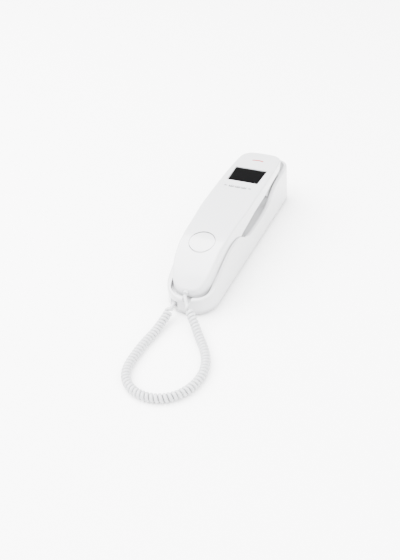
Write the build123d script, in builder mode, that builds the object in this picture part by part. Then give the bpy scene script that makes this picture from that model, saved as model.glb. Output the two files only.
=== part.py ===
from build123d import *
import math
import os

# Slimline wall phone lying on its back. Millimetres.
# X is the width, +Y the earpiece end, +Z up out of the table (out of the wall when hung).
# The origin is under the middle of the base, at the bottom of the feet.

os.makedirs("parts", exist_ok=True)

# ---------------------------------------------------------------- driving dimensions
BASE_LEN = 237.0          # base, end to end
BASE_HW = 26.5            # base half width
R_TOP = 15.0              # plan corner radius at the earpiece end
R_LOW = 25.0              # plan corner radius at the cord end
WALL = 2.0                # moulded wall
Z_UNDER = 1.5             # underside of the lower shell
Z_SPLIT = 7.0             # joint line between the two base shells
SPLIT_GAP = 0.05

DECK_EAR = 34.0           # cradle floor under the earpiece
DECK_MID = 26.5           # cradle floor under the keys
DECK_MIC = 19.0           # floor of the mouthpiece cup

HS_GAP = 0.4              # handset to cradle
HS_IN_EAR = DECK_EAR + HS_GAP
HS_IN_MID = 41.0
HS_IN_MIC = DECK_MIC + HS_GAP

FOOT_R, FOOT_H = 4.5, 2.0
FEET = [(-15.5, 94.0), (15.5, 94.0), (-15.5, -80.0), (15.5, -80.0)]
BASE_SCREWS = [(-19.0, 70.0), (19.0, 70.0), (-19.0, -60.0), (19.0, -60.0)]
KEYHOLE_Y = [40.0, -43.0]         # 83 mm apart
KEYHOLE_R, KEYSLOT_R, KEYSLOT_L = 4.2, 2.2, 7.0

PCB_T = 1.6
BPCB_Z = 9.0
BPCB_HW, BPCB_Y0, BPCB_Y1 = 15.0, -56.0, 84.0
BPCB_POSTS = [(-11.5, -50.0), (11.5, -50.0), (-11.5, 78.0), (11.5, 78.0)]

HOOK_Y = 62.5
HOOK_R = 2.5
HOOK_TOP = DECK_EAR + 0.1
HOOK_TRAVEL = 4.0

RING_Y, RING_Z = 20.0, 15.0       # ringer switch on the left side
RING_TRAVEL = 3.8

BJ_X, BJ_Z = -12.0, 11.5          # cord socket in the base
LJ_Z = 13.5                       # line socket at the earpiece end

SPK_Y, SPK_R = 88.5, 13.2
MIC_Y = -98.0
HPCB_Z = 46.0
HPCB_HW, HPCB_Y0, HPCB_Y1 = 17.0, -78.0, 96.0
HS_SCREWS = [(0.0, 72.2), (0.0, -84.0)]

LCD_Y0, LCD_Y1, LCD_HW0, LCD_HW1 = 39.5, 68.0, 17.2, 18.0
LED_Y, LED_HW = 87.5, 5.6
BTN_Y, BTN_Z, BTN_R = -68.2, 56.0, 13.0
BTN_TILT = 13.0                   # degrees, the face leans towards the cord end here
BTN_TRAVEL = 1.0

KEY_W, KEY_L, KEY_OUT = 10.4, 7.4, 1.4
KEY_TRAVEL = 1.0
FKEY_W, FKEY_L = 8.0, 5.0
KEYS = {
    "key_1": (13.2, 32.0), "key_2": (0.0, 32.0), "key_3": (-13.2, 32.0),
    "key_4": (13.2, 20.0), "key_5": (0.0, 20.0), "key_6": (-13.2, 20.0),
    "key_7": (13.2, 8.0), "key_8": (0.0, 8.0), "key_9": (-13.2, 8.0),
    "key_star": (13.2, -4.0), "key_0": (0.0, -4.0), "key_hash": (-13.2, -4.0),
}
FKEYS = {
    "key_flash": (15.0, 43.0), "key_down": (5.0, 43.0),
    "key_up": (-5.0, 43.0), "key_redial": (-15.0, 43.0),
}

COIL_R = 4.7                      # curly cord, outside radius
TAIL_R = 1.9                      # straight ends of the cord
GROM_Z = 24.9                     # where the cord leaves the handset

# rim of the base, seen from the side: (y, z)
RIM = [(121.0, 46.8), (97.0, 45.6), (82.0, 44.2), (67.0, 41.8), (58.0, 37.2), (50.0, 32.6), (40.0, 30.2),
       (22.0, 29.0), (4.0, 29.0), (-9.0, 30.6), (-18.0, 34.0), (-26.0, 39.2), (-34.0, 43.8), (-44.0, 46.0),
       (-56.0, 45.2), (-66.0, 42.6), (-76.0, 38.6), (-85.0, 33.8), (-93.0, 29.0), (-101.0, 25.0),
       (-109.0, 22.4), (-121.0, 21.0)]

# face of the handset, seen from the side
FACE = [(112.0, 56.4), (100.0, 58.4), (84.0, 59.6), (64.0, 60.4), (40.0, 60.8), (16.0, 60.8), (-8.0, 60.4),
        (-30.0, 59.6), (-46.0, 58.6), (-60.0, 57.2), (-72.0, 54.8), (-82.0, 51.2), (-90.0, 46.8),
        (-97.0, 41.6), (-104.0, 35.2), (-110.0, 29.6), (-116.0, 24.0)]

# joint line between the two handset shells
PART = [(112.0, 50.6), (90.0, 50.4), (60.0, 49.4), (30.0, 47.6), (4.0, 46.4), (-10.0, 44.6), (-24.0, 41.6),
        (-50.0, 36.4), (-75.0, 31.4), (-95.0, 26.4), (-116.0, 20.6)]

# handset outline from above, right half, from the earpiece end round to the cord end
HS_OUT = [(0.0, 107.5), (8.0, 107.2), (14.5, 105.8), (19.6, 102.2), (22.6, 96.5), (23.9, 88.0), (24.6, 70.0),
          (25.2, 42.0), (25.4, 14.0), (25.4, -10.0), (24.9, -22.0), (24.3, -34.0), (23.8, -50.0),
          (23.1, -68.0), (22.1, -83.0), (20.4, -95.0), (17.0, -104.0), (10.8, -109.8), (0.0, -111.5)]


def inset_points(points, inset):
    """Moves each point of the right-half outline inwards; inset is a number or a function of y."""
    out = []
    n = len(points)
    for i, (x, y) in enumerate(points):
        d = inset(y) if callable(inset) else inset
        if i == 0:
            out.append((0.0, y - d))
            continue
        if i == n - 1:
            out.append((0.0, y + d))
            continue
        ax, ay = points[i - 1]
        bx, by = points[i + 1]
        tx, ty = bx - ax, by - ay
        length = math.hypot(tx, ty)
        nx, ny = ty / length, -tx / length      # the outline runs clockwise, so this points inwards
        out.append((x + nx * d, y + ny * d))
    return out


def handset_plan(inset, z):
    """The handset outline, inset all round, as a face at height z."""
    right = inset_points(HS_OUT, inset)
    with BuildSketch(Plane.XY.offset(z)) as s:
        with BuildLine():
            Spline(*right, *[(-x, y) for x, y in reversed(right[1:-1])], periodic=True)
        make_face()
    return s.sketch


def base_plan(inset, z):
    """The base outline, inset all round, as a face at height z."""
    with BuildSketch(Plane.XY.offset(z)) as s:
        Rectangle(2 * (BASE_HW - inset), BASE_LEN - 2 * inset)
        fillet(s.vertices().group_by(Axis.Y)[-1], R_TOP - inset)
        fillet(s.vertices().group_by(Axis.Y)[0], R_LOW - inset)
    return s.sketch


def side_profile(curve, drop, floor):
    """Everything below a side curve lowered by drop, down to floor, as a face in the YZ plane."""
    pts = [(y, z - drop) for y, z in curve]
    with BuildSketch(Plane.YZ.offset(-40)) as s:
        with BuildLine():
            Spline(*pts)
            Polyline(pts[-1], (pts[-1][0], floor), (pts[0][0], floor), pts[0])
        make_face()
    return s.sketch


def line_profile(points, radius, ceiling):
    """Everything above a run of straight lines, up to ceiling, with its corners rounded."""
    with BuildSketch(Plane.YZ.offset(-40)) as s:
        with BuildLine():
            Polyline(*points, (points[-1][0], ceiling), (points[0][0], ceiling), close=True)
        make_face()
        corners = [v for v in s.vertices()
                   if any(abs(v.X - y) < 1e-4 and abs(v.Y - z) < 1e-4
                          for y, z in points[1:-1])]
        fillet(corners, radius)
    return s.sketch


def save(builder, name):
    builder.part.label = name
    export_step(builder.part, "parts/" + name + ".step")


# floor of the cradle, from the earpiece end to the cord end
DECK = [(125.0, DECK_EAR), (57.0, DECK_EAR), (49.0, DECK_MID), (-19.0, DECK_MID), (-32.0, DECK_MIC), (-125.0, DECK_MIC)]
# underside of the handset
UNDER = [(120.0, 44.0), (109.0, 40.0), (105.0, HS_IN_EAR), (58.0, HS_IN_EAR), (51.0, HS_IN_MID), (-13.0, HS_IN_MID),
         (-40.0, HS_IN_MIC), (-110.5, HS_IN_MIC), (-120.0, 23.0)]

# ---------------------------------------------------------------- base, lower shell
with BuildPart() as base_lower_shell:
    add(base_plan(0.0, Z_UNDER))
    extrude(amount=Z_SPLIT - Z_UNDER, dir=(0, 0, 1))
    fillet(base_lower_shell.faces().sort_by(Axis.Z)[0].edges(), 4.8)
    with BuildSketch(Plane.XY.offset(Z_UNDER + WALL)) as tray:
        add(base_plan(4.0, Z_UNDER + WALL))
    extrude(amount=20, mode=Mode.SUBTRACT)
    # inner lip that centres the upper shell is on the upper shell; here are the circuit board posts
    with BuildSketch(Plane.XY.offset(Z_UNDER + WALL - 0.2)):
        with Locations(*BPCB_POSTS):
            Circle(2.6)
    extrude(amount=BPCB_Z - (Z_UNDER + WALL - 0.2))
    with BuildSketch(Plane.XY.offset(BPCB_Z - 0.2)):
        with Locations(*BPCB_POSTS):
            Circle(1.1)
    extrude(amount=PCB_T + 0.8)
    # screw seats
    with BuildSketch(Plane.XY.offset(Z_UNDER + 0.2)):
        with Locations(*BASE_SCREWS):
            Circle(4.4)
    extrude(amount=5.2)
    with BuildSketch(Plane.XY.offset(Z_UNDER - 1)):
        with Locations(*BASE_SCREWS):
            Circle(3.1)
    extrude(amount=3.4, mode=Mode.SUBTRACT)
    with BuildSketch(Plane.XY.offset(Z_UNDER - 1)):
        with Locations(*BASE_SCREWS):
            Circle(1.7)
    extrude(amount=10, mode=Mode.SUBTRACT)
    # foot recesses
    with BuildSketch(Plane.XY.offset(Z_UNDER - 1)):
        with Locations(*FEET):
            Circle(FOOT_R + 0.15)
    extrude(amount=1.5, mode=Mode.SUBTRACT)
    # keyholes: the screw head goes in at the round end and the slot rides up the screw
    with BuildSketch(Plane.XY.offset(Z_UNDER - 1)):
        with Locations(*[(0, y) for y in KEYHOLE_Y]):
            Circle(KEYHOLE_R)
        with Locations(*[(0, y + KEYSLOT_L / 2) for y in KEYHOLE_Y]):
            Rectangle(2 * KEYSLOT_R, KEYSLOT_L)
        with Locations(*[(0, y + KEYSLOT_L) for y in KEYHOLE_Y]):
            Circle(KEYSLOT_R)
    extrude(amount=6, mode=Mode.SUBTRACT)
    # sounder outlet
    with BuildSketch(Plane.XY.offset(Z_UNDER - 1)):
        with Locations((0, 99)):
            with PolarLocations(4.0, 6):
                Circle(0.9)
            Circle(0.9)
    extrude(amount=6, mode=Mode.SUBTRACT)
save(base_lower_shell, "base_lower_shell")

# ---------------------------------------------------------------- base, upper shell
with BuildPart() as rim_under:
    add(side_profile(RIM, 0.0, 0.0))
    extrude(amount=80, dir=(1, 0, 0))

with BuildPart() as base_body:
    add(base_plan(0.0, Z_SPLIT + SPLIT_GAP))
    extrude(amount=60, dir=(0, 0, 1))
    add(rim_under.part, mode=Mode.INTERSECT)
    top_edges = [e for e in base_body.edges()
                 if e.center().Z > Z_SPLIT + 2 and not (e.geom_type == GeomType.LINE and abs(e.tangent_at(0.5).Z) > 0.9)]
    fillet(top_edges, 2.4)

with BuildPart() as deck_above:
    add(line_profile(DECK, 4.0, 90.0))
    extrude(amount=80, dir=(1, 0, 0))

# the cradle as seen from above: a long slot inside the rim, and the cup that follows the handset
with BuildPart() as cradle_hollow:
    with BuildSketch(Plane.XY.offset(10.0)) as cradle_upper:
        add(base_plan(3.4, 10.0))
        with Locations((0, -87.0)):
            Rectangle(80, 130, mode=Mode.SUBTRACT)
    extrude(amount=70, dir=(0, 0, 1))
    add(handset_plan(lambda y: -0.7 if y > -98 else -3.2, 10.0))
    extrude(amount=70, dir=(0, 0, 1))
    with BuildSketch(Plane.XY.offset(10.0)):
        with Locations((0, 60.0)):
            Rectangle(80, 156)
        add(base_plan(3.4, 10.0), mode=Mode.SUBTRACT)
    extrude(amount=70, mode=Mode.SUBTRACT)
    add(deck_above.part, mode=Mode.INTERSECT)

with BuildPart() as deck_below:
    with BuildSketch(Plane.YZ.offset(-40)):
        with BuildLine():
            Polyline((125.0, 0.0), (125.0, DECK_EAR - WALL), (59.0, DECK_EAR - WALL), (51.0, DECK_MID - WALL),
                     (-18.0, DECK_MID - WALL), (-31.0, DECK_MIC - WALL), (-125.0, DECK_MIC - WALL), (-125.0, 0.0),
                     close=True)
        make_face()
    extrude(amount=80, dir=(1, 0, 0))

with BuildPart() as base_cavity:
    add(base_plan(WALL, 0.0))
    extrude(amount=50, dir=(0, 0, 1))
    add(deck_below.part, mode=Mode.INTERSECT)

with BuildPart() as base_upper_shell:
    add(base_body.part)
    add(cradle_hollow.part, mode=Mode.SUBTRACT)
    add(base_cavity.part, mode=Mode.SUBTRACT)
    # screw bosses hang from the cradle floor
    for bx, by in BASE_SCREWS:
        roof = DECK_EAR if by > 0 else DECK_MIC
        with BuildSketch(Plane.XY.offset(Z_SPLIT + SPLIT_GAP)):
            with Locations((bx, by)):
                Circle(3.4)
        extrude(amount=roof - 1.0 - Z_SPLIT - SPLIT_GAP)
        with BuildSketch(Plane.XY.offset(5.0)):
            with Locations((bx, by)):
                Circle(1.5)
        extrude(amount=9.4, mode=Mode.SUBTRACT)
    # hook plunger hole with a collar
    with BuildSketch(Plane.XY.offset(DECK_EAR - WALL - 1.2)):
        with Locations((0, HOOK_Y)):
            Circle(4.6)
    extrude(amount=1.4)
    with BuildSketch(Plane.XY.offset(20)):
        with Locations((0, HOOK_Y)):
            Circle(HOOK_R + 0.3)
    extrude(amount=20, mode=Mode.SUBTRACT)
    # ringer switch slot in the left wall
    with BuildSketch(Plane.YZ.offset(-BASE_HW - 1)):
        with Locations((RING_Y + RING_TRAVEL / 2, RING_Z)):
            SlotOverall(RING_TRAVEL + 9.2, 5.0)
    extrude(amount=4, mode=Mode.SUBTRACT)
    # cord socket opening in the lower end wall
    with BuildSketch(Plane.XZ.offset(100)):
        with Locations((BJ_X, BJ_Z)):
            Rectangle(8.6, 7.4)
    extrude(amount=25, mode=Mode.SUBTRACT)
    # line socket opening in the upper end wall
    with BuildSketch(Plane.XZ.offset(-122)):
        with Locations((0, LJ_Z)):
            Rectangle(11.0, 8.0)
    extrude(amount=8, mode=Mode.SUBTRACT)
    # notch in the lip, where the handset cord passes
    with BuildSketch(Plane.XZ.offset(108)):
        with Locations((2.5, 24.0)):
            SlotOverall(14.0, 9.0, rotation=90)
        with Locations((2.5, 26.0)):
            Rectangle(9.0, 8.0)
    extrude(amount=16, mode=Mode.SUBTRACT)
save(base_upper_shell, "base_upper_shell")

# ---------------------------------------------------------------- feet, screws
with BuildPart() as rubber_feet:
    with BuildSketch():
        with Locations(*FEET):
            Circle(FOOT_R)
    extrude(amount=FOOT_H)
    chamfer(rubber_feet.faces().group_by(Axis.Z)[0].edges(), 0.5)
save(rubber_feet, "rubber_feet")

with BuildPart() as base_screws:
    with BuildSketch(Plane.XY.offset(2.2)):
        with Locations(*BASE_SCREWS):
            Circle(2.8)
    extrude(amount=1.65)
    fillet(base_screws.faces().group_by(Axis.Z)[0].edges(), 0.7)
    with BuildSketch(Plane.XY.offset(3.8)):
        with Locations(*BASE_SCREWS):
            Circle(1.42)
    extrude(amount=9.2)
    chamfer(base_screws.faces().group_by(Axis.Z)[-1].edges(), 0.5)
    with BuildSketch(Plane.XY.offset(2.0)):
        with Locations(*BASE_SCREWS):
            Rectangle(3.0, 0.7)
            Rectangle(0.7, 3.0)
    extrude(amount=1.1, mode=Mode.SUBTRACT)
save(base_screws, "base_screws")

# ---------------------------------------------------------------- inside the base
with BuildPart() as base_pcb:
    with BuildSketch(Plane.XY.offset(BPCB_Z)):
        with Locations((0, (BPCB_Y0 + BPCB_Y1) / 2)):
            RectangleRounded(2 * BPCB_HW, BPCB_Y1 - BPCB_Y0, 2)
        with Locations(*BPCB_POSTS):
            Circle(1.3, mode=Mode.SUBTRACT)
    extrude(amount=PCB_T)
save(base_pcb, "base_pcb")

with BuildPart() as ringer_sounder:
    with BuildSketch(Plane.XY.offset(Z_UNDER + WALL + 0.1)):
        with Locations((0, 99)):
            Circle(12.5)
    extrude(amount=1.6)
    with BuildSketch(Plane.XY.offset(Z_UNDER + WALL + 1.6)):
        with Locations((0, 99)):
            Circle(9.0)
    extrude(amount=1.7)
    fillet(ringer_sounder.faces().sort_by(Axis.Z)[-1].edges(), 0.8)
save(ringer_sounder, "ringer_sounder")

SW_TOP = 17.0
with BuildPart() as hook_switch_body:
    with BuildSketch(Plane.XY.offset(BPCB_Z + PCB_T + 0.02)):
        with Locations((0, HOOK_Y)):
            RectangleRounded(9.0, 13.0, 0.8)
    extrude(amount=SW_TOP - (BPCB_Z + PCB_T + 0.02))
    chamfer(hook_switch_body.faces().sort_by(Axis.Z)[-1].edges(), 0.4)
save(hook_switch_body, "hook_switch_body")

SPRING_H = 4.2
with BuildPart() as hook_spring:
    with BuildSketch(Plane.XY.offset(SW_TOP + 0.02)):
        with Locations((0, HOOK_Y)):
            Circle(2.3)
            Circle(1.7, mode=Mode.SUBTRACT)
    extrude(amount=SPRING_H)
save(hook_spring, "hook_spring")

with BuildPart() as hook_plunger:
    with BuildSketch(Plane.XY.offset(SW_TOP + SPRING_H + 0.06)):
        with Locations((0, HOOK_Y)):
            Circle(HOOK_R)
    extrude(amount=HOOK_TOP - (SW_TOP + SPRING_H + 0.06))
    fillet(hook_plunger.faces().sort_by(Axis.Z)[-1].edges(), 1.1)
    with BuildSketch(Plane.XY.offset(23.5)):
        with Locations((0, HOOK_Y)):
            Circle(4.0)
    extrude(amount=1.6)
save(hook_plunger, "hook_plunger")

with BuildPart() as ringer_switch_body:
    with BuildSketch(Plane.YZ.offset(-22.2)):
        with Locations((RING_Y + RING_TRAVEL / 2, RING_Z)):
            Rectangle(18.0, 7.4)
    extrude(amount=6.0)
    chamfer(ringer_switch_body.edges().filter_by(Axis.X), 0.5)
    with BuildSketch(Plane.XY.offset(BPCB_Z + PCB_T + 0.02)):
        with Locations((-15.6, RING_Y + RING_TRAVEL / 2)):
            Rectangle(3.0, 14.0)
    extrude(amount=1.4)
save(ringer_switch_body, "ringer_switch_body")

with BuildPart() as ringer_switch_knob:
    with BuildSketch(Plane.YZ.offset(-26.25)):
        with Locations((RING_Y, RING_Z)):
            SlotOverall(8.6, 4.4)
    extrude(amount=2.0)
    with BuildSketch(Plane.YZ.offset(-24.3)):
        with Locations((RING_Y + RING_TRAVEL / 2, RING_Z)):
            Rectangle(15.6 + RING_TRAVEL - 3.8, 6.6)
    extrude(amount=1.2)
    with BuildSketch(Plane.YZ.offset(-27)):
        with Locations((RING_Y - 2, RING_Z), (RING_Y, RING_Z), (RING_Y + 2, RING_Z)):
            Rectangle(0.8, 3.0)
    extrude(amount=1.25, mode=Mode.SUBTRACT)
save(ringer_switch_knob, "ringer_switch_knob")

with BuildPart() as base_cord_jack:
    with BuildSketch(Plane.XZ.offset(99.0)):
        with Locations((BJ_X, BJ_Z + 0.2)):
            Rectangle(11.0, 9.0)
    extrude(amount=10.4)
    with BuildSketch(Plane.XZ.offset(101.0)):
        with Locations((BJ_X, BJ_Z)):
            Rectangle(7.9, 6.7)
    extrude(amount=12.0, mode=Mode.SUBTRACT)
save(base_cord_jack, "base_cord_jack")

with BuildPart() as line_jack:
    with BuildSketch(Plane.XZ.offset(-115.8)):
        with Locations((0, LJ_Z)):
            Rectangle(14.0, 12.4)
    extrude(amount=15.0)
    with BuildSketch(Plane.XZ.offset(-117.0)):
        with Locations((0, LJ_Z)):
            Rectangle(10.0, 7.0)
    extrude(amount=13.0, mode=Mode.SUBTRACT)
    # latch step under the roof of the socket
    with BuildSketch(Plane.XZ.offset(-117.0)):
        with Locations((0, LJ_Z - 4.2)):
            Rectangle(6.2, 2.0)
    extrude(amount=10.0, mode=Mode.SUBTRACT)
save(line_jack, "line_jack")

# ---------------------------------------------------------------- handset, outer shell
with BuildPart() as face_under:
    add(side_profile(FACE, 0.0, 0.0))
    extrude(amount=80, dir=(1, 0, 0))

with BuildPart() as face_inside:
    add(side_profile(FACE, WALL, 0.0))
    extrude(amount=80, dir=(1, 0, 0))

with BuildPart() as part_under:
    add(side_profile(PART, 0.0, 0.0))
    extrude(amount=80, dir=(1, 0, 0))

with BuildPart() as handset_body:
    add(handset_plan(0.0, 5.0))
    extrude(amount=70, dir=(0, 0, 1))
    add(face_under.part, mode=Mode.INTERSECT)
    add(part_under.part, mode=Mode.SUBTRACT)
    crest = handset_body.faces().sort_by(Axis.Z)[-1].edges()
    fillet(crest, 2.6)

with BuildPart() as handset_cavity:
    add(handset_plan(WALL, 5.0))
    extrude(amount=70, dir=(0, 0, 1))
    add(face_inside.part, mode=Mode.INTERSECT)

btn_plane = Plane(origin=(0, BTN_Y, BTN_Z), x_dir=(1, 0, 0),
                  z_dir=(0, -math.sin(math.radians(BTN_TILT)), math.cos(math.radians(BTN_TILT))))

with BuildPart() as handset_outer_shell:
    add(handset_body.part)
    add(handset_cavity.part, mode=Mode.SUBTRACT)
    # display opening
    with BuildSketch(Plane.XY.offset(50)):
        with BuildLine():
            Polyline((-LCD_HW0, LCD_Y0), (LCD_HW0, LCD_Y0), (LCD_HW1, LCD_Y1), (-LCD_HW1, LCD_Y1), close=True)
        make_face()
    extrude(amount=20, mode=Mode.SUBTRACT)
    # call light slot
    with BuildSketch(Plane.XY.offset(50)):
        with BuildLine():
            arc = ThreePointArc((-LED_HW, LED_Y - 0.9), (0, LED_Y), (LED_HW, LED_Y - 0.9))
        SlotArc(arc, 2.0)
    extrude(amount=20, mode=Mode.SUBTRACT)
    # round button hole
    with BuildSketch(btn_plane.offset(-8)):
        Circle(BTN_R + 0.35)
    extrude(amount=20, mode=Mode.SUBTRACT)
    # screw bosses
    for sx, sy in HS_SCREWS:
        low = HS_IN_EAR + 3.2 if sy > 0 else HS_IN_MIC + 3.2
        high = 59.4 if sy > 0 else 49.2
        with BuildSketch(Plane.XY.offset(low)):
            with Locations((sx, sy)):
                Circle(2.5)
        extrude(amount=high - low)
        with BuildSketch(Plane.XY.offset(low - 1)):
            with Locations((sx, sy)):
                Circle(1.3)
        extrude(amount=10, mode=Mode.SUBTRACT)
    # cord outlet, upper half
    with BuildSketch(Plane.XZ.offset(100)):
        with Locations((0, GROM_Z)):
            Circle(2.75)
    extrude(amount=20, mode=Mode.SUBTRACT)
save(handset_outer_shell, "handset_outer_shell")


# ---------------------------------------------------------------- handset, inner shell
def inner_inset(y):
    """The key side is narrower than the face above the rim, and follows it inside the cup."""
    t = min(1.0, max(0.0, (-14.0 - y) / 20.0))
    t = t * t * (3 - 2 * t)
    return 3.4 + (0.5 - 3.4) * t


with BuildPart() as under_above:
    add(line_profile(UNDER, 3.0, 90.0))
    extrude(amount=80, dir=(1, 0, 0))

with BuildPart() as under_inside:
    add(line_profile([(y, z + WALL) for y, z in UNDER], 3.0, 90.0))
    extrude(amount=80, dir=(1, 0, 0))

with BuildPart() as part_over:
    add(side_profile(PART, -1.5, 0.0))
    extrude(amount=80, dir=(1, 0, 0))

with BuildPart() as inner_body:
    add(handset_plan(inner_inset, 5.0))
    extrude(amount=70, dir=(0, 0, 1))
    add(under_above.part, mode=Mode.INTERSECT)
    add(part_under.part, mode=Mode.INTERSECT)

with BuildPart() as inner_flange:
    add(handset_plan(WALL + 0.25, 5.0))
    extrude(amount=70, dir=(0, 0, 1))
    add(part_over.part, mode=Mode.INTERSECT)
    add(part_under.part, mode=Mode.SUBTRACT)

with BuildPart() as inner_cavity:
    add(handset_plan(lambda y: inner_inset(y) + WALL, 5.0))
    extrude(amount=70, dir=(0, 0, 1))
    add(under_inside.part, mode=Mode.INTERSECT)

with BuildPart() as handset_inner_shell:
    add(inner_body.part)
    add(inner_flange.part)
    add(inner_cavity.part, mode=Mode.SUBTRACT)
    # key openings
    with BuildSketch(Plane.XY.offset(30)):
        with Locations(*KEYS.values()):
            RectangleRounded(KEY_W + 0.6, KEY_L + 0.6, 2.3)
        with Locations(*FKEYS.values()):
            RectangleRounded(FKEY_W + 0.6, FKEY_L + 0.6, 2.3)
    extrude(amount=13.5, mode=Mode.SUBTRACT)
    # earpiece holes
    with BuildSketch(Plane.XY.offset(30)):
        with Locations((0, SPK_Y)):
            Circle(1.0)
            with PolarLocations(4.2, 6):
                Circle(1.0)
            with PolarLocations(8.2, 12):
                Circle(1.0)
    extrude(amount=8, mode=Mode.SUBTRACT)
    # mouthpiece holes
    with BuildSketch(Plane.XY.offset(15)):
        with Locations((-3.5, MIC_Y), (0, MIC_Y), (3.5, MIC_Y)):
            Circle(0.9)
    extrude(amount=8, mode=Mode.SUBTRACT)
    # screw holes with head recesses
    for sx, sy in HS_SCREWS:
        z0 = HS_IN_EAR if sy > 0 else HS_IN_MIC
        with BuildSketch(Plane.XY.offset(z0 + 0.6)):
            with Locations((sx, sy)):
                Circle(3.9)
        extrude(amount=2.4)
        with BuildSketch(Plane.XY.offset(z0 - 1)):
            with Locations((sx, sy)):
                Circle(2.7)
        extrude(amount=2.6, mode=Mode.SUBTRACT)
        with BuildSketch(Plane.XY.offset(z0 - 1)):
            with Locations((sx, sy)):
                Circle(1.5)
        extrude(amount=6, mode=Mode.SUBTRACT)
    # cord outlet, lower half
    with BuildSketch(Plane.XZ.offset(100)):
        with Locations((0, GROM_Z)):
            Circle(2.75)
    extrude(amount=20, mode=Mode.SUBTRACT)
save(handset_inner_shell, "handset_inner_shell")

# ---------------------------------------------------------------- display, call light
with BuildPart() as lcd_window:
    with BuildSketch(Plane.XY.offset(56.6)):
        with Locations((0, (LCD_Y0 + LCD_Y1) / 2)):
            RectangleRounded(39.6, LCD_Y1 - LCD_Y0 + 2.0, 1.5)
    extrude(amount=1.4)
save(lcd_window, "lcd_window")

with BuildPart() as lcd_module:
    with BuildSketch(Plane.XY.offset(HPCB_Z + PCB_T + 0.05)):
        with Locations((0, 53.2)):
            RectangleRounded(33.0, 26.0, 1.0)
    extrude(amount=8.6)
    chamfer(lcd_module.faces().sort_by(Axis.Z)[-1].edges(), 0.4)
save(lcd_module, "lcd_module")

with BuildPart() as call_light_lens:
    with BuildSketch(Plane.XY.offset(54.0)):
        with BuildLine():
            arc2 = ThreePointArc((-LED_HW, LED_Y - 0.9), (0, LED_Y), (LED_HW, LED_Y - 0.9))
        SlotArc(arc2, 1.6)
    extrude(amount=5.5)
    with BuildSketch(Plane.XY.offset(54.0)):
        with Locations((0, LED_Y - 0.5)):
            RectangleRounded(14.4, 4.0, 0.8)
    extrude(amount=2.2)
save(call_light_lens, "call_light_lens")

with BuildPart() as call_light_led:
    with BuildSketch(Plane.XY.offset(HPCB_Z + PCB_T + 0.02)):
        with Locations((0, LED_Y - 0.5)):
            Circle(2.5)
    extrude(amount=5.8)
    fillet(call_light_led.faces().sort_by(Axis.Z)[-1].edges(), 1.6)
save(call_light_led, "call_light_led")

# ---------------------------------------------------------------- round button on the face
with BuildPart() as face_skin:
    add(face_under.part)
    with BuildPart(mode=Mode.PRIVATE) as face_skin_low:
        add(side_profile(FACE, 1.8, 0.0))
        extrude(amount=80, dir=(1, 0, 0))
    add(face_skin_low.part, mode=Mode.SUBTRACT)

with BuildPart() as face_button:
    with BuildSketch(btn_plane.offset(-10)):
        Circle(BTN_R)
    extrude(amount=20)
    add(face_skin.part, mode=Mode.INTERSECT)
    with BuildSketch(btn_plane.offset(-3.9)):
        Circle(2.2)
    extrude(amount=3.0)
save(face_button, "face_button")

with BuildPart() as face_switch:
    with BuildSketch(Plane.XY.offset(HPCB_Z + PCB_T + 0.02)):
        with Locations((0, BTN_Y + 1.0)):
            RectangleRounded(6.0, 6.0, 0.5)
    extrude(amount=1.6)
    with BuildSketch(Plane.XY.offset(HPCB_Z + PCB_T + 1.5)):
        with Locations((0, BTN_Y + 1.0)):
            Circle(1.3)
    extrude(amount=1.3)
save(face_switch, "face_switch")

# ---------------------------------------------------------------- inside the handset
with BuildPart() as handset_pcb:
    with BuildSketch(Plane.XY.offset(HPCB_Z)):
        with Locations((0, (HPCB_Y0 + HPCB_Y1) / 2)):
            RectangleRounded(2 * HPCB_HW, HPCB_Y1 - HPCB_Y0, 4)
        with Locations(HS_SCREWS[0]):
            Circle(3.2, mode=Mode.SUBTRACT)
    extrude(amount=PCB_T)
save(handset_pcb, "handset_pcb")

with BuildPart() as keypad_mat:
    with BuildSketch(Plane.XY.offset(45.05)):
        with Locations((0, 19.5)):
            RectangleRounded(38.0, 60.0, 3)
    extrude(amount=0.85)
save(keypad_mat, "keypad_mat")

with BuildPart() as earpiece_speaker:
    with BuildSketch(Plane.XY.offset(HS_IN_EAR + WALL + 0.1)):
        with Locations((0, SPK_Y)):
            Circle(SPK_R - 0.4)
    extrude(amount=3.2)
    with BuildSketch(Plane.XY.offset(HS_IN_EAR + WALL + 3.2)):
        with Locations((0, SPK_Y)):
            Circle(9.5)
    extrude(amount=5.0)
    fillet(earpiece_speaker.faces().sort_by(Axis.Z)[-1].edges(), 0.8)
save(earpiece_speaker, "earpiece_speaker")

with BuildPart() as microphone:
    with BuildSketch(Plane.XY.offset(HS_IN_MIC + WALL + 0.1)):
        with Locations((0, MIC_Y)):
            Circle(4.85)
    extrude(amount=5.5)
    fillet(microphone.faces().sort_by(Axis.Z)[-1].edges(), 0.5)
save(microphone, "microphone")

with BuildPart() as handset_weight:
    with BuildSketch(Plane.XY.offset(HS_IN_MIC + WALL + 0.1)):
        with Locations((0, -60.0)):
            RectangleRounded(26.0, 32.0, 2)
    extrude(amount=8.0)
    chamfer(handset_weight.faces().sort_by(Axis.Z)[-1].edges(), 0.6)
save(handset_weight, "handset_weight")

with BuildPart() as handset_screws:
    for sx, sy in HS_SCREWS:
        z0 = HS_IN_EAR if sy > 0 else HS_IN_MIC
        with BuildSketch(Plane.XY.offset(z0 + 0.3)):
            with Locations((sx, sy)):
                Circle(2.45)
        extrude(amount=1.25)
        with BuildSketch(Plane.XY.offset(z0 + 1.5)):
            with Locations((sx, sy)):
                Circle(1.22)
        extrude(amount=8.0)
        with BuildSketch(Plane.XY.offset(z0)):
            with Locations((sx, sy)):
                Rectangle(2.6, 0.6)
                Rectangle(0.6, 2.6)
        extrude(amount=0.9, mode=Mode.SUBTRACT)
save(handset_screws, "handset_screws")

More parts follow.
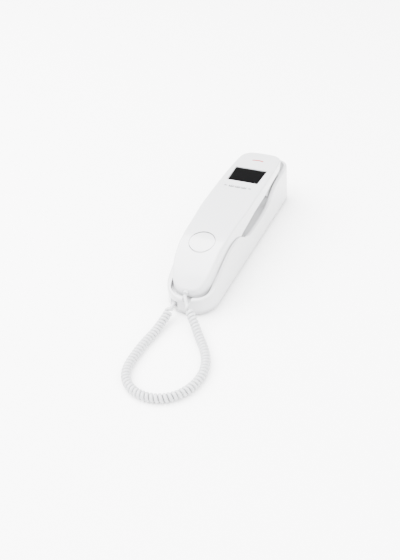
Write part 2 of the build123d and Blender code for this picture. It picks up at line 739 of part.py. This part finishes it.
# moulded boot that grips the cord in the end of the handset
with BuildPart() as handset_cord_boot:
    with BuildSketch(Plane.XZ.offset(106.4)):
        with Locations((0, GROM_Z)):
            Circle(3.4)
    extrude(amount=2.0)
    with BuildSketch(Plane.XZ.offset(108.3)):
        with Locations((0, GROM_Z)):
            Circle(2.7)
    extrude(amount=6.2)
    fillet(handset_cord_boot.faces().sort_by(Axis.Y)[0].edges(), 0.6)
save(handset_cord_boot, "handset_cord_boot")


# ---------------------------------------------------------------- keys
def make_key(name, x, y, w, l):
    with BuildPart() as key:
        with BuildSketch(Plane.XY.offset(HS_IN_MID - KEY_OUT)):
            with Locations((x, y)):
                RectangleRounded(w, l, 2.0)
        extrude(amount=KEY_OUT + WALL + 0.1)
        fillet(key.faces().sort_by(Axis.Z)[0].edges(), 0.6)
        with BuildSketch(Plane.XY.offset(HS_IN_MID + WALL + 0.05)):
            with Locations((x, y)):
                RectangleRounded(w + 1.3, l + 1.5, 2.5)
        extrude(amount=0.8)
    save(key, name)


for key_name, (kx, ky) in KEYS.items():
    make_key(key_name, kx, ky, KEY_W, KEY_L)
for key_name, (kx, ky) in FKEYS.items():
    make_key(key_name, kx, ky, FKEY_W, FKEY_L)

# ---------------------------------------------------------------- curly cord
# centre line from the base socket round the loop and back to the handset
ROUTE = [
    (-12.1, -119.8, 11.4), (-13.2, -131.9, 8.2), (-14.2, -144.3, 6.0), (-15.5, -156.8, 4.85), (-17.5, -169.3, 4.85),
    (-18.4, -181.9, 4.85), (-18.6, -194.5, 4.85), (-18.0, -207.1, 4.85), (-14.1, -219.1, 4.85), (-6.2, -228.8, 4.85),
    (4.8, -234.9, 4.85), (17.2, -236.7, 4.85), (29.4, -233.8, 4.85), (39.7, -226.7, 4.85), (46.9, -216.3, 4.85),
    (50.7, -204.2, 4.85), (51.2, -191.6, 4.85), (48.6, -179.4, 4.85), (43.3, -167.9, 4.85), (36.2, -157.6, 4.85),
    (28.0, -148.0, 5.8), (20.5, -138.3, 8.5), (12.5, -129.8, 13.0), (4.5, -122.6, 19.4),
]


def arc_radii(points):
    radii = []
    for i in range(1, len(points) - 1):
        a = Vector(*points[i]) - Vector(*points[i - 1])
        b = Vector(*points[i + 1]) - Vector(*points[i])
        half = math.radians(a.get_angle(b)) / 2
        radii.append(0.45 * min(a.length, b.length) / math.tan(half))
    return radii


def tube(points, radius, radii=None):
    with BuildPart() as t:
        with BuildLine() as path:
            if len(points) > 2:
                FilletPolyline(*points, radius=radii)
            else:
                Line(*points)
        start = path.line @ 0
        direction = path.line % 0
        with BuildSketch(Plane(origin=start, z_dir=direction)):
            Circle(radius)
        sweep()
    return t, sum(e.length for e in path.line.edges())


radii = arc_radii(ROUTE)
print("cord arc radii", [round(r, 1) for r in radii])
print("coil diameter", 2 * COIL_R, "least radius over diameter", round(min(radii) / (2 * COIL_R), 2))

cord_coil, coil_len = tube(ROUTE, COIL_R, radii)
print("coil centre line", round(coil_len, 1), "volume ratio",
      round(cord_coil.part.volume / (math.pi * COIL_R ** 2 * coil_len), 4))
save(cord_coil, "cord_coil")

# straight end into the base plug
cord_tail_base, tail_b_len = tube([(BJ_X, -113.9, BJ_Z), ROUTE[0]], TAIL_R)
save(cord_tail_base, "cord_tail_base")

# straight end into the handset boot
cord_tail_handset, tail_h_len = tube([ROUTE[-1], (0.4, -116.0, 24.5)], TAIL_R)
print("tails", round(tail_b_len, 1), round(tail_h_len, 1))
save(cord_tail_handset, "cord_tail_handset")

with BuildPart() as cord_plug_base:
    with BuildSketch(Plane.XZ.offset(102.0)):
        with Locations((BJ_X, BJ_Z)):
            Rectangle(7.5, 6.3)
    extrude(amount=11.9)
    chamfer(cord_plug_base.faces().sort_by(Axis.Y)[-1].edges(), 0.5)
save(cord_plug_base, "cord_plug_base")
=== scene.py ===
import math

import bmesh
import bpy
import numpy as np
from mathutils import Matrix, Vector


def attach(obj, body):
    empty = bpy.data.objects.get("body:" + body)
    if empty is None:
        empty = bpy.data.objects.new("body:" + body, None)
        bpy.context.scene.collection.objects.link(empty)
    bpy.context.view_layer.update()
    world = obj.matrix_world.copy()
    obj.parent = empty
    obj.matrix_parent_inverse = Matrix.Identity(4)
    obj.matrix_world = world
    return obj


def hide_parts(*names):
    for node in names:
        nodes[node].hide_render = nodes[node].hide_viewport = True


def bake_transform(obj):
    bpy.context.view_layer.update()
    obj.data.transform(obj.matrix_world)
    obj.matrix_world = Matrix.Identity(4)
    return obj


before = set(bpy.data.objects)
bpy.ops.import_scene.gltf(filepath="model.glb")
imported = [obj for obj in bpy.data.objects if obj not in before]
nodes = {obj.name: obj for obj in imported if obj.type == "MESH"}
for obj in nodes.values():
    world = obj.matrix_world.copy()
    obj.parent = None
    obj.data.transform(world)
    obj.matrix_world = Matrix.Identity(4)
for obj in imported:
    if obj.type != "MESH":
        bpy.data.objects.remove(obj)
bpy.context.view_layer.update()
MM = 0.001
scene = bpy.context.scene


# ------------------------------------------------------------------ materials
def material(name, color, rough=0.3, coat=0.0, coat_rough=0.05, metallic=0.0, vary=0.02, grain=0.0, grain_scale=900.0,
             peel=0.0, peel_scale=160.0, rough_vary=0.05, sss=0.0, painted_edge_highlight=0.0, transmission=0.0, ior=1.5, emission=None,
             spec=0.5):
    """A moulded or machined surface: slow colour drift, fine grain, a slight moulding ripple and uneven gloss."""
    m = bpy.data.materials.new(name)
    m.use_nodes = True
    t = m.node_tree
    t.nodes.clear()
    out = t.nodes.new("ShaderNodeOutputMaterial")
    b = t.nodes.new("ShaderNodeBsdfPrincipled")
    t.links.new(b.outputs[0], out.inputs[0])
    co = t.nodes.new("ShaderNodeTexCoord")
    n1 = t.nodes.new("ShaderNodeTexNoise")
    n1.inputs["Scale"].default_value = 28.0
    n1.inputs["Detail"].default_value = 3.0
    t.links.new(co.outputs["Object"], n1.inputs["Vector"])
    ramp = t.nodes.new("ShaderNodeValToRGB")
    lo = [max(0.0, c * (1 - vary)) for c in color]
    hi = [min(1.0, c * (1 + vary)) for c in color]
    ramp.color_ramp.elements[0].position = 0.3
    ramp.color_ramp.elements[0].color = (*lo, 1)
    ramp.color_ramp.elements[1].position = 0.7
    ramp.color_ramp.elements[1].color = (*hi, 1)
    t.links.new(n1.outputs["Fac"], ramp.inputs["Fac"])
    colour_out = ramp.outputs["Color"]
    # painted highlight: convex edges (Pointiness) are mixed toward a lighter colour, standing in for light caught on
    # edges and crests
    if painted_edge_highlight > 0:
        geo = t.nodes.new("ShaderNodeNewGeometry")
        edge_highlight_ramp = t.nodes.new("ShaderNodeValToRGB")
        edge_highlight_ramp.color_ramp.elements[0].position = 0.52
        edge_highlight_ramp.color_ramp.elements[1].position = 0.62
        t.links.new(geo.outputs["Pointiness"], edge_highlight_ramp.inputs["Fac"])
        mul = t.nodes.new("ShaderNodeMath")
        mul.operation = "MULTIPLY"
        mul.inputs[1].default_value = painted_edge_highlight
        t.links.new(edge_highlight_ramp.outputs["Color"], mul.inputs[0])
        mix = t.nodes.new("ShaderNodeMix")
        mix.data_type = "RGBA"
        mix.inputs["B"].default_value = (*[min(1.0, c * 1.15 + 0.03) for c in color], 1)
        t.links.new(mul.outputs[0], mix.inputs["Factor"])
        t.links.new(colour_out, mix.inputs["A"])
        colour_out = mix.outputs["Result"]
    t.links.new(colour_out, b.inputs["Base Color"])
    n2 = t.nodes.new("ShaderNodeTexNoise")
    n2.inputs["Scale"].default_value = 70.0
    n2.inputs["Detail"].default_value = 4.0
    t.links.new(co.outputs["Object"], n2.inputs["Vector"])
    mr = t.nodes.new("ShaderNodeMapRange")
    mr.inputs["From Min"].default_value = 0.25
    mr.inputs["From Max"].default_value = 0.75
    mr.inputs["To Min"].default_value = max(0.0, rough - rough_vary)
    mr.inputs["To Max"].default_value = min(1.0, rough + rough_vary)
    t.links.new(n2.outputs["Fac"], mr.inputs["Value"])
    t.links.new(mr.outputs["Result"], b.inputs["Roughness"])
    last = None
    if grain > 0:
        g = t.nodes.new("ShaderNodeTexNoise")
        g.inputs["Scale"].default_value = grain_scale
        g.inputs["Detail"].default_value = 2.0
        t.links.new(co.outputs["Object"], g.inputs["Vector"])
        bump = t.nodes.new("ShaderNodeBump")
        bump.inputs["Strength"].default_value = grain
        bump.inputs["Distance"].default_value = 0.0001
        t.links.new(g.outputs["Fac"], bump.inputs["Height"])
        last = bump
    if peel > 0:
        p = t.nodes.new("ShaderNodeTexNoise")
        p.inputs["Scale"].default_value = peel_scale
        p.inputs["Detail"].default_value = 1.0
        t.links.new(co.outputs["Object"], p.inputs["Vector"])
        bump2 = t.nodes.new("ShaderNodeBump")
        bump2.inputs["Strength"].default_value = peel
        bump2.inputs["Distance"].default_value = 0.0002
        t.links.new(p.outputs["Fac"], bump2.inputs["Height"])
        if last:
            t.links.new(last.outputs["Normal"], bump2.inputs["Normal"])
        last = bump2
    if last:
        t.links.new(last.outputs["Normal"], b.inputs["Normal"])
    b.inputs["Metallic"].default_value = metallic
    b.inputs["Coat Weight"].default_value = coat
    b.inputs["Coat Roughness"].default_value = coat_rough
    b.inputs["IOR"].default_value = ior
    b.inputs["Specular IOR Level"].default_value = spec
    b.inputs["Transmission Weight"].default_value = transmission
    if sss > 0:
        b.inputs["Subsurface Weight"].default_value = sss
        b.inputs["Subsurface Radius"].default_value = (0.004, 0.003, 0.003)
        b.inputs["Subsurface Scale"].default_value = 0.4
    if emission:
        b.inputs["Emission Color"].default_value = (*emission[0], 1)
        b.inputs["Emission Strength"].default_value = emission[1]
    return m


M = {
    "face": material("white_face_gloss", (0.50, 0.503, 0.516), rough=0.16, coat=0.5, coat_rough=0.04, vary=0.008, peel=0.05,
                     grain=0.02, rough_vary=0.03, sss=0.05, painted_edge_highlight=0.1),
    "shell": material("white_shell_gloss", (0.47, 0.472, 0.48), rough=0.2, coat=0.4, coat_rough=0.05, vary=0.01,
                      peel=0.07, grain=0.03, rough_vary=0.04, sss=0.05, painted_edge_highlight=0.1),
    "inner": material("white_shell_satin", (0.42, 0.422, 0.43), rough=0.34, coat=0.1, vary=0.012, grain=0.2,
                      grain_scale=1400, rough_vary=0.05),
    "under": material("white_underside", (0.36, 0.36, 0.37), rough=0.46, vary=0.015, grain=0.35, grain_scale=1100),
    "cord": material("cord_vinyl", (0.43, 0.435, 0.445), rough=0.36, coat=0.15, coat_rough=0.2, vary=0.03, grain=0.15,
                     grain_scale=1800, sss=0.08),
    "boot": material("cord_boot_vinyl", (0.43, 0.435, 0.445), rough=0.42, vary=0.03, grain=0.2, sss=0.05),
    "window": material("black_window_gloss", (0.0009, 0.0009, 0.001), rough=0.05, coat=1.0, coat_rough=0.01, vary=0.2,
                       rough_vary=0.015),
    # painted glow: the red lens is given a faint emission of its own, though the LED behind it gives no light
    "red": material("red_lens", (0.3, 0.003, 0.002), rough=0.2, coat=0.4, vary=0.06, sss=0.2,
                    emission=((1.0, 0.03, 0.01), 0.05)),
    "led": material("red_led", (0.6, 0.02, 0.02), rough=0.15, coat=0.5, vary=0.05, sss=0.2),
    "key": material("key_grey", (0.55, 0.56, 0.58), rough=0.4, vary=0.02, grain=0.25, grain_scale=1500, painted_edge_highlight=0.2),
    # this dark ink colour is also used for the painted shade ring in the button seam
    "print_and_seam_shade": material("print_ink_and_seam_shade", (0.02, 0.02, 0.023), rough=0.45, vary=0.15, grain=0.1),
    "legend": material("key_legend_ink", (0.03, 0.03, 0.035), rough=0.5, vary=0.1, grain=0.1),
    "rubber": material("rubber_foot", (0.03, 0.03, 0.03), rough=0.75, vary=0.15, grain=0.5, grain_scale=1600),
    "mat": material("silicone_mat", (0.62, 0.62, 0.62), rough=0.6, vary=0.03, grain=0.2),
    "steel": material("zinc_steel", (0.58, 0.58, 0.6), rough=0.32, metallic=1.0, vary=0.06, grain=0.2, rough_vary=0.1),
    "brass": material("sounder_brass", (0.72, 0.55, 0.25), rough=0.3, metallic=1.0, vary=0.06, rough_vary=0.1),
    "pcb": material("circuit_board_green", (0.02, 0.16, 0.06), rough=0.35, vary=0.25, coat=0.3, grain=0.2),
    "black": material("black_moulding", (0.025, 0.025, 0.027), rough=0.45, vary=0.1, grain=0.3, grain_scale=1300),
    "plug": material("plug_vinyl", (0.43, 0.435, 0.445), rough=0.3, vary=0.02, coat=0.2),
    "display": material("display_frame", (0.2, 0.22, 0.2), rough=0.3, vary=0.1, grain=0.1),
}

KEYS = ["key_1", "key_2", "key_3", "key_4", "key_5", "key_6", "key_7", "key_8", "key_9", "key_star", "key_0", "key_hash"]
FKEYS = ["key_flash", "key_down", "key_up", "key_redial"]
FINISH = {
    "base_lower_shell": "under", "base_upper_shell": "shell", "rubber_feet": "rubber", "base_screws": "steel",
    "base_pcb": "pcb", "ringer_sounder": "brass", "hook_switch_body": "black", "hook_spring": "steel",
    "base_cord_jack": "inner", "line_jack": "black", "ringer_switch_body": "black", "ringer_switch_knob": "key",
    "hook_plunger": "inner", "cord_plug_base": "plug", "handset_outer_shell": "face", "handset_inner_shell": "inner",
    "lcd_window": "window", "lcd_module": "display", "call_light_lens": "red", "call_light_led": "led",
    "handset_pcb": "pcb", "earpiece_speaker": "black", "microphone": "black", "keypad_mat": "mat",
    "handset_weight": "steel", "handset_screws": "steel", "face_switch": "black", "face_button": "face",
    "handset_cord_boot": "boot",
}
for k in KEYS + FKEYS:
    FINISH[k] = "key"
for n, o in nodes.items():
    o.data.materials.clear()
    o.data.materials.append(M[FINISH.get(n, "cord")])


def new_object(name, mesh, mat, body, smooth=True):
    o = bpy.data.objects.new(name, mesh)
    scene.collection.objects.link(o)
    if mat:
        o.data.materials.append(M[mat])
    if smooth and hasattr(mesh, "polygons"):
        for p in mesh.polygons:
            p.use_smooth = True
    if body:
        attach(o, body)
    return o


# ------------------------------------------------------------------ camera, at the viewing angle of the real picture
AZ, EL, ROLL, DIST, FPX, U0, V0 = 26.45, 37.52, 4.73, 1007.0, 943.6, 29.8, 29.8
LOOK = (0.0, -2.5, 0.0)
a, e, r = map(math.radians, (AZ, EL, ROLL))
back = Vector((math.sin(a) * math.cos(e), -math.cos(a) * math.cos(e), math.sin(e)))
right = Vector((math.cos(a), math.sin(a), 0))
up = back.cross(right)
right2 = math.cos(r) * right - math.sin(r) * up
up2 = math.sin(r) * right + math.cos(r) * up
place = Vector(LOOK) + DIST * back - (U0 * DIST / FPX) * right2 - (V0 * DIST / FPX) * up2
cam_data = bpy.data.cameras.new("camera")
cam = bpy.data.objects.new("camera", cam_data)
scene.collection.objects.link(cam)
cam.matrix_world = Matrix((
    (right2.x, up2.x, back.x, place.x * MM), (right2.y, up2.y, back.y, place.y * MM),
    (right2.z, up2.z, back.z, place.z * MM), (0, 0, 0, 1)))
cam_data.sensor_width = 36.0
cam_data.lens = FPX * 36.0 / 560.0
cam_data.clip_start, cam_data.clip_end = 0.01, 20.0
scene.camera = cam

# ------------------------------------------------------------------ curly cord
# centre line of the cord: out of the base, round the loop and back into the handset
ROUTE = [
    (-0.012, -0.1139, 0.0115), (-0.0121, -0.1198, 0.0114), (-0.0132, -0.1319, 0.0082),
    (-0.0142, -0.1443, 0.006), (-0.0155, -0.1568, 0.00485), (-0.0175, -0.1693, 0.00485),
    (-0.0184, -0.1819, 0.00485), (-0.0186, -0.1945, 0.00485), (-0.018, -0.2071, 0.00485),
    (-0.0141, -0.2191, 0.00485), (-0.0062, -0.2288, 0.00485), (0.0048, -0.2349, 0.00485),
    (0.0172, -0.2367, 0.00485), (0.0294, -0.2338, 0.00485), (0.0397, -0.2267, 0.00485),
    (0.0469, -0.2163, 0.00485), (0.0507, -0.2042, 0.00485), (0.0512, -0.1916, 0.00485),
    (0.0486, -0.1794, 0.00485), (0.0433, -0.1679, 0.00485), (0.0362, -0.1576, 0.00485),
    (0.028, -0.148, 0.0058), (0.0205, -0.1383, 0.0085), (0.0125, -0.1298, 0.013),
    (0.0045, -0.1226, 0.0194), (0.0004, -0.116, 0.0245),
]
WIRE_R, HELIX_R, TURNS = 1.75, 2.93, 69


def nurbs(name, points, resolution=8):
    c = bpy.data.curves.new(name, "CURVE")
    c.dimensions = "3D"
    s = c.splines.new("NURBS")
    s.points.add(len(points) - 1)
    for p, q in zip(s.points, points):
        p.co = (*q, 1.0)
    s.order_u = 3
    s.use_endpoint_u = True
    c.resolution_u = resolution
    return c


def line_of(curve):
    """Points along a curve's own line, read from Blender's evaluation of it with no bevel."""
    o = bpy.data.objects.new("line_probe", curve)
    scene.collection.objects.link(o)
    bpy.context.view_layer.update()
    mesh = bpy.data.meshes.new_from_object(o.evaluated_get(bpy.context.evaluated_depsgraph_get()))
    pts = np.array([v.co[:] for v in mesh.vertices])
    bpy.data.objects.remove(o)
    bpy.data.meshes.remove(mesh)
    return pts


route_curve = nurbs("cord_route", ROUTE, 24)
line = line_of(route_curve)
seg = np.linalg.norm(np.diff(line, axis=0), axis=1)
arc = np.r_[0, np.cumsum(seg)]
total = arc[-1]
count = 6000
S = np.linspace(0, total, count)
C = np.stack([np.interp(S, arc, line[:, i]) for i in range(3)], 1)
T = np.gradient(C, axis=0)
T /= np.linalg.norm(T, axis=1)[:, None]
N = np.zeros_like(T)
n0 = np.cross(T[0], (0, 0, 1))
n0 /= np.linalg.norm(n0)
for i in range(count):
    n0 = n0 - T[i] * (n0 @ T[i])
    n0 /= np.linalg.norm(n0)
    N[i] = n0
B = np.cross(T, N)
c0, c1 = 0.0062, total - 0.0092            # the coils start and end here, measured along the cord
phase_pts = TURNS * 14
turn = np.linspace(0, TURNS, phase_pts)
hs = np.interp(turn, (0, 1, TURNS - 1, TURNS), (c0, c0 + 0.008, c1 - 0.008, c1))   # the end turns are open
helix = []
for s in np.linspace(0, c0 - 0.0012, 5):
    helix.append([np.interp(s, S, C[:, i]) for i in range(3)])
rng = np.random.default_rng(7)
wob = np.interp(np.arange(phase_pts), np.arange(0, phase_pts, 21), rng.normal(0, 0.05, len(range(0, phase_pts, 21))))
for i, s in enumerate(hs):
    th = 2 * math.pi * turn[i]
    near = min(1.0, turn[i], TURNS - turn[i])
    rad = HELIX_R * MM * near * near * (3 - 2 * near) * (1 + 0.25 * wob[i])
    c = np.array([np.interp(s, S, C[:, k]) for k in range(3)])
    nn = np.array([np.interp(s, S, N[:, k]) for k in range(3)])
    bb = np.array([np.interp(s, S, B[:, k]) for k in range(3)])
    helix.append(c + rad * (math.cos(th) * nn + math.sin(th) * bb))
for s in np.linspace(c1 + 0.0012, total, 6):
    helix.append([np.interp(s, S, C[:, i]) for i in range(3)])
helix = [tuple(float(v) for v in q) for q in helix]
wire_curve = nurbs("cord_wire", helix, 3)
wire_line = line_of(wire_curve)
wire_curve.bevel_depth = WIRE_R * MM
wire_curve.bevel_resolution = 5
wire_curve.use_fill_caps = True
tmp = bpy.data.objects.new("tmp", wire_curve)
scene.collection.objects.link(tmp)
bpy.context.view_layer.update()
wire_mesh = bpy.data.meshes.new_from_object(tmp.evaluated_get(bpy.context.evaluated_depsgraph_get()))
bpy.data.objects.remove(tmp)
wire_mesh.materials.clear()
cord = new_object("curly_cord", wire_mesh, "cord", None)
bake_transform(cord)
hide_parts("cord_coil", "cord_tail_base", "cord_tail_handset")

# ------------------------------------------------------------------ details of the handset
def shell_height(x, y, node="handset_outer_shell"):
    """Height of the handset's face above a point, read from the CAD shell."""
    o = nodes[node]
    inv = o.matrix_world.inverted()
    hit, where, _, _ = o.ray_cast(inv @ Vector((x * MM, y * MM, 0.2)), (inv.to_3x3() @ Vector((0, 0, -1))).normalized())
    return (o.matrix_world @ where).z / MM if hit else None


def decal(name, polys, mat, body, lift=0.06):
    """Thin printed marks laid on the face; polys are lists of (x, y) corners in mm."""
    verts, faces = [], []
    for poly in polys:
        first = len(verts)
        for x, y in poly:
            verts.append((x * MM, y * MM, (shell_height(x, y) + lift) * MM))
        faces.append(list(range(first, len(verts))))
    m = bpy.data.meshes.new(name)
    m.from_pydata(verts, [], faces)
    return new_object(name, m, mat, body, smooth=False)


def bar(x, y, w, h):
    return [(x - w / 2, y - h / 2), (x + w / 2, y - h / 2), (x + w / 2, y + h / 2), (x - w / 2, y + h / 2)]


marks = [bar(-14.2, 28.2, 2.8, 1.5), bar(13.0, 28.2, 2.8, 1.5)]
for cx in (-7.6, -0.6, 6.4):
    marks += [bar(cx, 27.2, 5.4, 1.2), bar(cx - 2.2, 28.8, 1.0, 2.0), bar(cx + 2.2, 28.8, 1.0, 2.0), bar(cx, 29.2, 1.0, 2.4)]
decal("window_tick_marks", marks, "print_and_seam_shade", "handset")

# black window, its gloss plate set a little under the face
lo_w, hi_w = Vector((-17.05, 39.7)), Vector((17.05, 67.8))
bm = bmesh.new()
ring = []
for sx, sy, top in ((-1, 0, 0), (1, 0, 0), (1, 1, 0.75), (-1, 1, 0.75)):
    cx, cy = sx * (hi_w.x + top - 1.2), (hi_w.y - 1.2 if sy else lo_w.y + 1.2)
    base_ang = {(-1, 0): 180, (1, 0): 270, (1, 1): 0, (-1, 1): 90}[(sx, sy)]
    for k in range(7):
        t = math.radians(base_ang + 15 * k)
        ring.append((cx + 1.2 * math.cos(t), cy + 1.2 * math.sin(t)))
low = [bm.verts.new((x * MM, y * MM, 56.7 * MM)) for x, y in ring]
high = [bm.verts.new((x * MM, y * MM, 59.55 * MM)) for x, y in ring]
bm.faces.new(list(reversed(low)))
top_face = bm.faces.new(high)
for i in range(len(ring)):
    j = (i + 1) % len(ring)
    bm.faces.new((low[i], low[j], high[j], high[i]))
bmesh.ops.bevel(bm, geom=list(top_face.edges), offset=0.35 * MM, segments=3, affect="EDGES")
bmesh.ops.recalc_face_normals(bm, faces=bm.faces)
wm = bpy.data.meshes.new("window_plate")
bm.to_mesh(wm)
bm.free()
window = new_object("window_plate", wm, "window", "handset", smooth=False)
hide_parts("lcd_window")

# painted shade: a near-black ring at the bottom of the seam round the button, put where the gap is only in shadow
tilt = math.radians(13)
centre = Vector((0, -68.2, 56.0))
ux, uy, un = Vector((1, 0, 0)), Vector((0, math.cos(tilt), math.sin(tilt))), Vector((0, -math.sin(tilt), math.cos(tilt)))
verts, faces = [], []
for i in range(96):
    t = 2 * math.pi * i / 96
    d = ux * math.cos(t) + uy * math.sin(t)
    verts += [tuple((centre + d * 12.7 - un * 0.6) * MM), tuple((centre + d * 13.34 - un * 0.12) * MM)]
    j = (i + 1) % 96
    faces.append((2 * i, 2 * i + 1, 2 * j + 1, 2 * j))
rm = bpy.data.meshes.new("button_seam_painted_shade")
rm.from_pydata(verts, [], faces)
new_object("button_seam_painted_shade", rm, "print_and_seam_shade", "handset")

# digits on the keys, read from the ear side
SIGN = {"key_star": "*", "key_hash": "#"}
for k in KEYS:
    o = nodes[k]
    box = [o.matrix_world @ Vector(c) for c in o.bound_box]
    cx = sum(v.x for v in box) / 8
    cy = sum(v.y for v in box) / 8
    cz = min(v.z for v in box)
    font = bpy.data.curves.new(k + "_legend", "FONT")
    font.body = SIGN.get(k, k[-1])
    font.size = 5.2 * MM
    font.align_x, font.align_y = "CENTER", "CENTER"
    font.extrude = 0.02 * MM
    t = bpy.data.objects.new("legend_probe", font)
    scene.collection.objects.link(t)
    bpy.context.view_layer.update()
    mesh = bpy.data.meshes.new_from_object(t.evaluated_get(bpy.context.evaluated_depsgraph_get()))
    bpy.data.objects.remove(t)
    mesh.materials.clear()
    mesh.transform(Matrix.Translation((cx, cy, cz - 0.00002)) @ Matrix.Rotation(math.pi, 4, "Y"))
    new_object(k + "_legend", mesh, "legend", k, smooth=False)

# ------------------------------------------------------------------ floor and light
floor_mesh = bpy.data.meshes.new("floor")
floor_mesh.from_pydata([(-6, -6, 0), (6, -6, 0), (6, 6, 0), (-6, 6, 0)], [], [(0, 1, 2, 3)])
floor = new_object("floor", floor_mesh, None, None, smooth=False)
floor.location.z = -0.0001
floor.data.materials.append(material("floor_pale", (0.96, 0.96, 0.96), rough=0.9, vary=0.003, spec=0.1))

ROOM_LOW, ROOM_HIGH = 0.2, 6.0
FLAG = (-0.33, 0.73, 0.60)
# soft white room, dimmer near the horizon, with one dark flag on the far side
world = bpy.data.worlds.new("studio")
scene.world = world
world.use_nodes = True
wt = world.node_tree
wb = wt.nodes["Background"]
wc = wt.nodes.new("ShaderNodeTexCoord")
sep = wt.nodes.new("ShaderNodeSeparateXYZ")
wt.links.new(wc.outputs["Generated"], sep.inputs[0])
height = wt.nodes.new("ShaderNodeMapRange")
height.inputs["From Min"].default_value = 0.0
height.inputs["From Max"].default_value = 0.75
height.inputs["To Min"].default_value = ROOM_LOW
height.inputs["To Max"].default_value = ROOM_HIGH
wt.links.new(sep.outputs["Z"], height.inputs["Value"])
dot = wt.nodes.new("ShaderNodeVectorMath")
dot.operation = "DOT_PRODUCT"
dot.inputs[1].default_value = FLAG
wt.links.new(wc.outputs["Generated"], dot.inputs[0])
flag = wt.nodes.new("ShaderNodeMapRange")
flag.interpolation_type = "SMOOTHSTEP"
flag.inputs["From Min"].default_value = 0.90
flag.inputs["From Max"].default_value = 0.985
flag.inputs["To Min"].default_value = 1.0
flag.inputs["To Max"].default_value = 0.03
wt.links.new(dot.outputs["Value"], flag.inputs["Value"])
mulw = wt.nodes.new("ShaderNodeMath")
mulw.operation = "MULTIPLY"
wt.links.new(height.outputs["Result"], mulw.inputs[0])
wt.links.new(flag.outputs["Result"], mulw.inputs[1])
wt.links.new(mulw.outputs[0], wb.inputs["Strength"])
wb.inputs["Color"].default_value = (1.0, 1.0, 1.0, 1)


def area(name, loc, target, size, power, color=(1, 1, 1)):
    d = bpy.data.lights.new(name, "AREA")
    d.shape = "RECTANGLE"
    d.size, d.size_y = size
    d.energy = power
    d.color = color
    o = bpy.data.objects.new(name, d)
    scene.collection.objects.link(o)
    o.location = loc
    o.rotation_mode = "QUATERNION"
    o.rotation_quaternion = (Vector(target) - Vector(loc)).to_track_quat("-Z", "Y")
    return o


area("key", (-0.7, -0.1, 1.3), (0, 0, 0.03), (1.8, 1.8), 150.0)
area("fill", (0.9, -0.6, 0.9), (0, 0, 0.03), (1.4, 1.4), 40.0)
